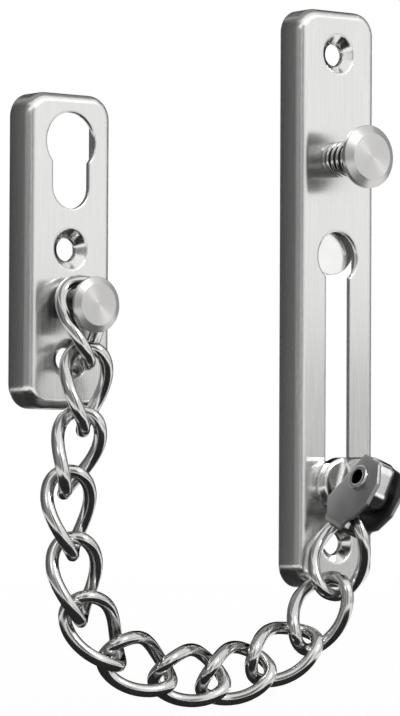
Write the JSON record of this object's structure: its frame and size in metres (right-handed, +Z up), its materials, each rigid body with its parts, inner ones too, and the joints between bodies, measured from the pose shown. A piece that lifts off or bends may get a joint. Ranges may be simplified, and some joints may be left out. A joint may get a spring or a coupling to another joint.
{
  "type": "door chain",
  "caption": "Door chain: long slotted plate with a sprung knob, short plate with a stud and keyhole, and a curb chain joined to a sliding catch.",
  "frame": {"origin": "middle of the long slotted plate between its screw holes, on the plane of both plates' backs", "axes": "+Z up along the plates, -Y out of the door towards the room, +X from the short plate to the long plate"},
  "size_m": [0.1112, 0.0301, 0.1794],
  "materials": {
    "plates": "vertical brushed satin",
    "turned": "fine turned satin",
    "wire": "bright drawn wire",
    "folded": "dark satin",
    "polished": "polished"
  },
  "bodies": {
    "plates": {"anchor_plate": "plates", "anchor_stud": "turned", "track_plate": "plates", "knob_spring": "wire"},
    "knob_unit": {"knob": "turned", "blocking_plate": "plates"},
    "slider": {"slider_body": "polished", "shackle_rivet": "folded"},
    "shackle": {"shackle": "folded"},
    "chain_link_01": {"chain_link_01": "polished"},
    "chain_link_02": {"chain_link_02": "polished"},
    "chain_link_03": {"chain_link_03": "polished"},
    "chain_link_04": {"chain_link_04": "polished"},
    "chain_link_05": {"chain_link_05": "polished"},
    "chain_link_06": {"chain_link_06": "polished"},
    "chain_link_07": {"chain_link_07": "polished"},
    "chain_link_08": {"chain_link_08": "polished"},
    "chain_link_09": {"chain_link_09": "polished"},
    "chain_link_10": {"chain_link_10": "polished"},
    "chain_link_11": {"chain_link_11": "polished"},
    "chain_link_12": {"chain_link_12": "polished"}
  },
  "joints": [
    {"name": "slider_travel", "type": "slide", "parent": "plates", "child": "slider", "axis": [0, 0, 1], "range_m": [0, 0.046]},
    {"name": "knob_press", "type": "slide", "parent": "plates", "child": "knob_unit", "axis": [0, 1, 0], "range_m": [0, 0.003], "stiffness_N_per_m": 600, "deforming": ["knob_spring"]},
    {"name": "link_01_swing", "type": "hinge", "parent": "plates", "child": "chain_link_01", "pos_m": [-0.0858, -0.0124, -0.0053], "axis": [0, -1, 0], "range_deg": [-25, 1]},
    {"name": "link_02_swing", "type": "hinge", "parent": "chain_link_01", "child": "chain_link_02", "pos_m": [-0.08538, -0.0148, -0.01736], "axis": [0, -1, 0], "range_deg": [-1, 28]},
    {"name": "link_03_swing", "type": "hinge", "parent": "chain_link_02", "child": "chain_link_03", "pos_m": [-0.08648, -0.015, -0.03312], "axis": [0, -1, 0], "range_deg": [-1, 18]},
    {"name": "link_04_swing", "type": "hinge", "parent": "chain_link_03", "child": "chain_link_04", "pos_m": [-0.09083, -0.0144, -0.0483], "axis": [0, -1, 0], "range_deg": [-1, 8]},
    {"name": "link_05_swing", "type": "hinge", "parent": "chain_link_04", "child": "chain_link_05", "pos_m": [-0.08864, -0.0134, -0.06391], "axis": [0, -1, 0], "range_deg": [-1, 1.5]},
    {"name": "link_06_swing", "type": "hinge", "parent": "chain_link_05", "child": "chain_link_06", "pos_m": [-0.0859, -0.013, -0.07947], "axis": [0, -1, 0], "range_deg": [-1, 2.5]},
    {"name": "link_07_swing", "type": "hinge", "parent": "chain_link_06", "child": "chain_link_07", "pos_m": [-0.07512, -0.013, -0.09102], "axis": [0, -1, 0], "range_deg": [-1, 2]},
    {"name": "link_08_swing", "type": "hinge", "parent": "chain_link_07", "child": "chain_link_08", "pos_m": [-0.06009, -0.013, -0.0959], "axis": [0, -1, 0], "range_deg": [-1, 1.5]},
    {"name": "link_12_swing", "type": "hinge", "parent": "slider", "child": "chain_link_12", "pos_m": [-0.00386, -0.01701, -0.05891], "axis": [0, -1, 0], "range_deg": [-1, 7]},
    {"name": "link_11_swing", "type": "hinge", "parent": "chain_link_12", "child": "chain_link_11", "pos_m": [-0.00767, -0.0158, -0.07419], "axis": [0, -1, 0], "range_deg": [-1, 29]},
    {"name": "link_10_swing", "type": "hinge", "parent": "chain_link_11", "child": "chain_link_10", "pos_m": [-0.01603, -0.015, -0.08758], "axis": [0, -1, 0], "range_deg": [-3, 1]},
    {"name": "link_09_swing", "type": "hinge", "parent": "chain_link_10", "child": "chain_link_09", "pos_m": [-0.03033, -0.014, -0.09424], "axis": [0, -1, 0], "range_deg": [-1.5, 1]},
    {"name": "shackle_swing", "type": "hinge", "parent": "slider", "child": "shackle", "pos_m": [0, -0.0224, -0.0483], "axis": [0.9397, 0, -0.342], "range_deg": [-3, 1]}
  ],
  "couplings": [
    {"joint": "link_01_swing", "follows": "slider_travel", "rad_per_m": -9.1061},
    {"joint": "link_02_swing", "follows": "slider_travel", "rad_per_m": 10.244},
    {"joint": "link_03_swing", "follows": "slider_travel", "rad_per_m": 6.4501},
    {"joint": "link_04_swing", "follows": "slider_travel", "rad_per_m": 2.6559},
    {"joint": "link_05_swing", "follows": "slider_travel", "rad_per_m": 0.18971},
    {"joint": "link_06_swing", "follows": "slider_travel", "rad_per_m": 0.56913},
    {"joint": "link_07_swing", "follows": "slider_travel", "rad_per_m": 0.37942},
    {"joint": "link_08_swing", "follows": "slider_travel", "rad_per_m": 0.18971},
    {"joint": "link_12_swing", "follows": "slider_travel", "rad_per_m": 2.2765},
    {"joint": "link_11_swing", "follows": "slider_travel", "rad_per_m": 10.624},
    {"joint": "link_10_swing", "follows": "slider_travel", "rad_per_m": -0.75884},
    {"joint": "link_09_swing", "follows": "slider_travel", "rad_per_m": -0.18971},
    {"joint": "shackle_swing", "follows": "slider_travel", "rad_per_m": -0.75884}
  ]
}
